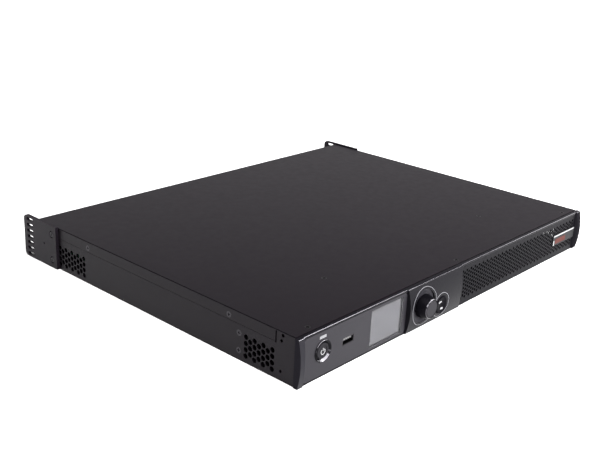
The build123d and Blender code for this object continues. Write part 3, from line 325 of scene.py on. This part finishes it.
node_materials = {
    case_paint: ("chassis_tray", "top_cover", "rear_panel", "slot_cover"),
    ear_paint: ("ear_left", "ear_right"),
    # painted shade: the divider is near black for the shade inside the case
    interior_shade_paint: ("divider",),
    # painted shade: the sub-panel is painted near black for the shade seen through the bezel's gap
    # and the grille
    shade_black: ("front_subpanel",),
    bezel_plastic: ("front_bezel",),
    dish_plastic: ("knob_dish",),
    insert_plastic: ("control_insert",),
    grille_paint: ("front_grille",),
    zinc: ("battery_cradle", "battery_strap"),
    shaded_nickel: ("usb_port",),
    nickel: ("battery_terminals", "inlet_pins", "serial_port", "network_ports",
             "ground_stud", "board_posts", "encoder_body"),
    black_oxide: ("flat_screws", "pan_screws"),
    brass: ("encoder_shaft",),
    aluminium: ("heatsinks",),
    black_nylon: ("usb_tongue", "ac_inlet", "outlets", "usb_b_port", "breaker_body", "fan_frames",
                  "fan_rotor_1", "fan_rotor_2", "power_transistors", "encoder_plunger"),
    green_nylon: ("stop_terminal",),
    knob_black: ("knob",),
    breaker_black: ("breaker_button",),
    ring_black: ("power_ring",),
    button_black: ("power_button",),
    escape_black: ("escape_button",),
    knob_disc: ("knob_cap",),
    line_paint: ("control_trim",),
    board_green: ("control_board", "power_board", "output_board", "comms_board"),
    battery_abs: ("battery_blocks",),
    lead_red: ("battery_leads",),
    copper: ("chokes", "power_transformer"),
    module_black: ("display_module", "key_switches", "relays", "capacitors"),
    screen_grey: ("display_panel",),
    light_pipe: ("status_light",),
    lens_clear: ("display_lens",),
    grey_ink: ("badge_plate",),
}
for material, names in node_materials.items():
    for name in names:
        mesh = nodes[name].data
        mesh.materials.clear()
        mesh.materials.append(material)


def repaint(node, material, chosen):
    """Give the faces picked by their normal and centre a further material."""
    mesh = nodes[node].data
    mesh.materials.append(material)
    for polygon in mesh.polygons:
        if chosen(polygon.normal, polygon.center):
            polygon.material_index = len(mesh.materials) - 1


# how far a face's normal has to lean along an axis
UP = 0.3
TURNED = 0.5
SQUARE = 0.9

# painted shade: the slanted ends of the bezel's flat zones and its end faces are painted dark and
# matt; painted highlight: its top edge gets a lighter, glossier copy of the plastic
END_X = 0.218          # a slanted face with its middle past this is one of the bezel's two ends
repaint("front_bezel", shade_black, lambda n, at: abs(n.x) > TURNED and abs(at.x) < END_X)
repaint("front_bezel", bezel_ends_shade, lambda n, at: abs(n.x) > TURNED and abs(at.x) > END_X)
repaint("front_bezel", bezel_edge_highlight, lambda n, at: n.z > UP and abs(n.x) < TURNED and n.y < -0.1)
# each end of the bezel gets its own copy of the plastic: a lighter one on the left end's front
# strip, a painted highlight, and a matt one without reflection on the right end, painted shade
END_FACE_X = 0.2135    # a face with its middle past this is at an end of the bezel
repaint("front_bezel", left_end_highlight, lambda n, at: (
    at.x < -END_FACE_X and n.y < -TURNED and n.z < UP))
repaint("front_bezel", right_end_shade, lambda n, at: at.x > END_FACE_X and n.z < UP)
# painted shade: the top cover's rounded side edges, the grille's hole walls and the ears' front
# edges are painted dark
repaint("top_cover", shade_black, lambda n, at: 0.2 < abs(n.x) < 0.98 and n.z > 0.15)
repaint("front_grille", shade_black, lambda n, at: abs(n.y) < TURNED)
for ear in ("ear_left", "ear_right"):
    repaint(ear, ear_edge_shade, lambda n, at: n.y < -TURNED)
# painted shade: the screws are painted dark but for the outer faces of their heads, which keep the
# oxide finish
HEAD_TOP = 0.0409      # the heads in the top cover end just above this
HEAD_SIDE = 0.2195     # the heads in the sides end just past this
repaint("flat_screws", shade_black, lambda n, at: not (
    n.z > SQUARE and at.z > HEAD_TOP or abs(n.x) > SQUARE and abs(at.x) > HEAD_SIDE))
# painted highlight: the rim round the knob's face gets a lighter, glossier copy of the knob
# plastic, and the ring's inner bevel is glossy only on its lower faces, so its glint shows there
# alone
repaint("knob", knob_rim_highlight, lambda n, at: -0.80 < n.y < -0.60)
repaint("power_ring", ring_bevel_glint, lambda n, at: -SQUARE < n.y < -TURNED and n.z > 0.15)


# ---- pieces that carry the fine detail ------------------------------------
def place(piece, body, slot, material):
    """Give a piece its material and the body it rides on; the slot is not used."""
    piece.data.materials.clear()
    piece.data.materials.append(material)
    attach(piece, body)


MARK_THICKNESS = 0.12 * MM        # thickness of a thin mark: print, and the painted highlight on the small button

# stand-by symbol on the power button: an open ring and a bar, in the button's shallow recess
power_x = centre("power_button").x + 0.3 * MM
power_z = centre("power_button").z - 0.8 * MM
symbol_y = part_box("power_button")[0].y + 0.3 * MM - MARK_THICKNESS
symbol = front_prism("power_symbol_ring",
                     ring_arc(power_x, power_z, 2.55 * MM, 1.95 * MM, 128, 412), symbol_y, MARK_THICKNESS)
place(symbol, "power_button", "trim_line", white_print_and_glint)
bar = front_prism("power_symbol_bar",
                  rounded_box((power_x - 0.30 * MM, power_x + 0.30 * MM),
                              (power_z + 0.5 * MM, power_z + 3.1 * MM), 0.2 * MM), symbol_y, MARK_THICKNESS)
place(bar, "power_button", "trim_line", white_print_and_glint)

# on the small button, laid on its hollow face: a plain back arrow, and below it a white mark, a
# painted highlight where the hollow shows its glint
escape_x, escape_z = centre("escape_button").x, centre("escape_button").z
escape_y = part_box("escape_button")[0].y
HOLLOW_RADIUS = 30.0 * MM
HOLLOW_DEPTH = 0.7 * MM


def on_hollow(name, outline):
    """A thin mark that follows the button's hollow face."""
    sphere_y = escape_y + HOLLOW_DEPTH - HOLLOW_RADIUS
    sides = []
    for lift in (MARK_THICKNESS, 0.0):
        side = []
        for x, z in outline:
            reach = (x - escape_x) ** 2 + (z - escape_z) ** 2
            side.append((x, sphere_y + math.sqrt(HOLLOW_RADIUS ** 2 - reach) - lift, z))
        sides.append(side)
    return plate(name, *sides)


arrow_x = escape_x - 3.3 * MM
arrow_z = escape_z + 3.1 * MM
# its corners, in millimetres from its middle
ARROW = [(-1.9, 0.0), (0.2, 1.5), (0.2, 0.55), (3.2, 0.55),
         (3.2, -0.55), (0.2, -0.55), (0.2, -1.5)]
arrow = on_hollow("escape_arrow", [(arrow_x + x * MM, arrow_z + z * MM) for x, z in ARROW])
place(arrow, "escape_button", "trim_line", white_print_and_glint)
glint_mark = on_hollow("escape_glint_mark", rounded_box((escape_x - 1.4 * MM, escape_x + 2.2 * MM),
                                            (escape_z - 4.2 * MM, escape_z - 2.6 * MM), 0.5 * MM))
place(glint_mark, "escape_button", "trim_line", white_print_and_glint)

# contact pads on the front end of the socket's tongue
PADS = 4
PAD_PITCH = 2.4 * MM
PAD_THICKNESS = 0.05 * MM
tongue_low, tongue_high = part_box("usb_tongue")
for number in range(PADS):
    pad_x = centre("usb_tongue").x + (number - (PADS - 1) / 2) * PAD_PITCH
    pad = front_prism("usb_pad_" + str(number + 1),
                      rounded_box((pad_x - 0.45 * MM, pad_x + 0.45 * MM),
                                  (tongue_high.z - 1.6 * MM, tongue_high.z - 0.3 * MM), 0.1 * MM),
                      tongue_low.y - PAD_THICKNESS, PAD_THICKNESS)
    place(pad, "root", "connector_metal", nickel)

# the plate's print: a white line along the top and down the left, and a red block
badge_low, badge_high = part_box("badge_plate")
badge_prints = (
    ("badge_line_top", (badge_low.x + 0.6 * MM, badge_high.x - 0.5 * MM),
     (badge_high.z - 2.0 * MM, badge_high.z - 0.5 * MM), 0.3 * MM, white_print_and_glint),
    ("badge_line_side", (badge_low.x + 0.6 * MM, badge_low.x + 2.4 * MM),
     (badge_low.z + 0.5 * MM, badge_low.z + 5.6 * MM), 0.3 * MM, white_print_and_glint),
    ("badge_block_red", (badge_low.x + 4.0 * MM, badge_low.x + 26.0 * MM),
     (badge_low.z + 1.5 * MM, badge_low.z + 6.8 * MM), 0.6 * MM, red_ink),
)
for name, across, upwards, corner, ink in badge_prints:
    mark = front_prism(name, rounded_box(across, upwards, corner), badge_low.y - MARK_THICKNESS, MARK_THICKNESS)
    place(mark, "root", "badge", ink)

# ---- camera, fitted to the photo ------------------------------------------
AZIMUTH = math.radians(-48.473)
ELEVATION = math.radians(19.982)
ROLL = math.radians(2.753)
DISTANCE = 0.945667
SHIFT_RIGHT = -0.019738
SHIFT_UP = 0.027641
LENS = 55.38
SENSOR = 36.0

back = Vector((math.sin(AZIMUTH) * math.cos(ELEVATION),
               -math.cos(AZIMUTH) * math.cos(ELEVATION), math.sin(ELEVATION)))
level = Vector((math.cos(AZIMUTH), math.sin(AZIMUTH), 0.0))
upright = back.cross(level)
right = math.cos(ROLL) * level + math.sin(ROLL) * upright
up = -math.sin(ROLL) * level + math.cos(ROLL) * upright
location = back * DISTANCE + right * SHIFT_RIGHT + up * SHIFT_UP
camera_data = bpy.data.cameras.new("camera")
camera_data.lens = LENS
camera_data.sensor_width = SENSOR
camera_data.clip_start = 0.01
camera = bpy.data.objects.new("camera", camera_data)
camera.matrix_world = Matrix.Translation(location) @ Matrix((right, up, back)).transposed().to_4x4()
bpy.context.scene.collection.objects.link(camera)
bpy.context.scene.camera = camera

# ---- floor and light ------------------------------------------------------
REACH = 4.0            # distance from the middle of the floor to its edges
floor = mesh_object("floor", [(-REACH, -REACH, 0), (REACH, -REACH, 0), (REACH, REACH, 0),
                              (-REACH, REACH, 0)], [[0, 1, 2, 3]])
floor_shader = Shader("floor", (0.93, 0.93, 0.93), 0.9, Specular_IOR_Level=0.0)
floor.data.materials.append(floor_shader.material)


WALL_SIDE = (0.70, 0.71, 0.0)
ROOM_COLOUR = (1.0, 0.97, 1.0, 1.0)


def studio_world(dim, bright, overhead):
    """Dim room with a brighter wall behind the far right corner, under a dark ceiling."""
    world = bpy.data.worlds.new("studio")
    world.use_nodes = True
    tree = world.node_tree
    direction = tree.nodes.new("ShaderNodeTexCoord").outputs["Generated"]

    def ramp(source, start, stop, low, high):
        """Map start-to-stop onto low-to-high; either of these may itself be a pattern."""
        node = tree.nodes.new("ShaderNodeMapRange")
        node.inputs["From Min"].default_value = start
        node.inputs["From Max"].default_value = stop
        for socket, value in (("To Min", low), ("To Max", high)):
            if isinstance(value, float):
                node.inputs[socket].default_value = value
            else:
                tree.links.new(value, node.inputs[socket])
        tree.links.new(source, node.inputs["Value"])
        return node.outputs["Result"]

    across = tree.nodes.new("ShaderNodeVectorMath")
    across.operation = "DOT_PRODUCT"
    across.inputs[1].default_value = WALL_SIDE
    tree.links.new(direction, across.inputs[0])
    parts = tree.nodes.new("ShaderNodeSeparateXYZ")
    tree.links.new(direction, parts.inputs["Vector"])
    wall = ramp(across.outputs["Value"], 0.3, 0.85, dim, bright)
    level = ramp(parts.outputs["Z"], 0.22, 0.5, wall, overhead)
    tree.links.new(level, tree.nodes["Background"].inputs["Strength"])
    tree.nodes["Background"].inputs["Color"].default_value = ROOM_COLOUR
    bpy.context.scene.world = world


def sun(name, direction, spread, power):
    """Broad overhead light; the spread is in degrees."""
    data = bpy.data.lights.new(name, "SUN")
    data.angle = math.radians(spread)
    data.energy = power
    light = bpy.data.objects.new(name, data)
    light.rotation_euler = Vector(direction).to_track_quat("Z", "Y").to_euler()
    bpy.context.scene.collection.objects.link(light)


def softbox(name, place_at, aim, size, power):
    """A rectangular area light pointed at a spot."""
    data = bpy.data.lights.new(name, "AREA")
    data.shape = "RECTANGLE"
    data.size = size[0]
    data.size_y = size[1]
    data.energy = power
    light = bpy.data.objects.new(name, data)
    light.location = place_at
    light.rotation_euler = (Vector(aim) - Vector(place_at)).to_track_quat("-Z", "Y").to_euler()
    bpy.context.scene.collection.objects.link(light)


studio_world(0.07, 0.95, 0.05)
sun("overhead", (-0.24, -0.24, 0.94), 60.0, 4.6)
CONTROLS = (-0.15, -0.17, 0.02)
LEFT_EDGE = (-0.19, -0.17, 0.04)
RIGHT_EDGE = (0.13, -0.17, 0.04)
# name, where it stands, what it points at, its size in metres and its power in watts
softboxes = (
    ("key", (0.07, -0.84, 0.71), CONTROLS, (1.20, 0.20), 12.0),
    ("low_key", (-0.42, -1.00, 0.40), CONTROLS, (0.35, 0.25), 5.0),
    ("left_edge", (0.712, -0.745, 0.780), LEFT_EDGE, (0.28, 0.55), 11.0),
    ("right_edge", (1.23, -0.59, 0.585), RIGHT_EDGE, (0.35, 0.50), 4.8),
)
for row in softboxes:
    softbox(*row)
bpy.context.scene.view_settings.view_transform = "Standard"
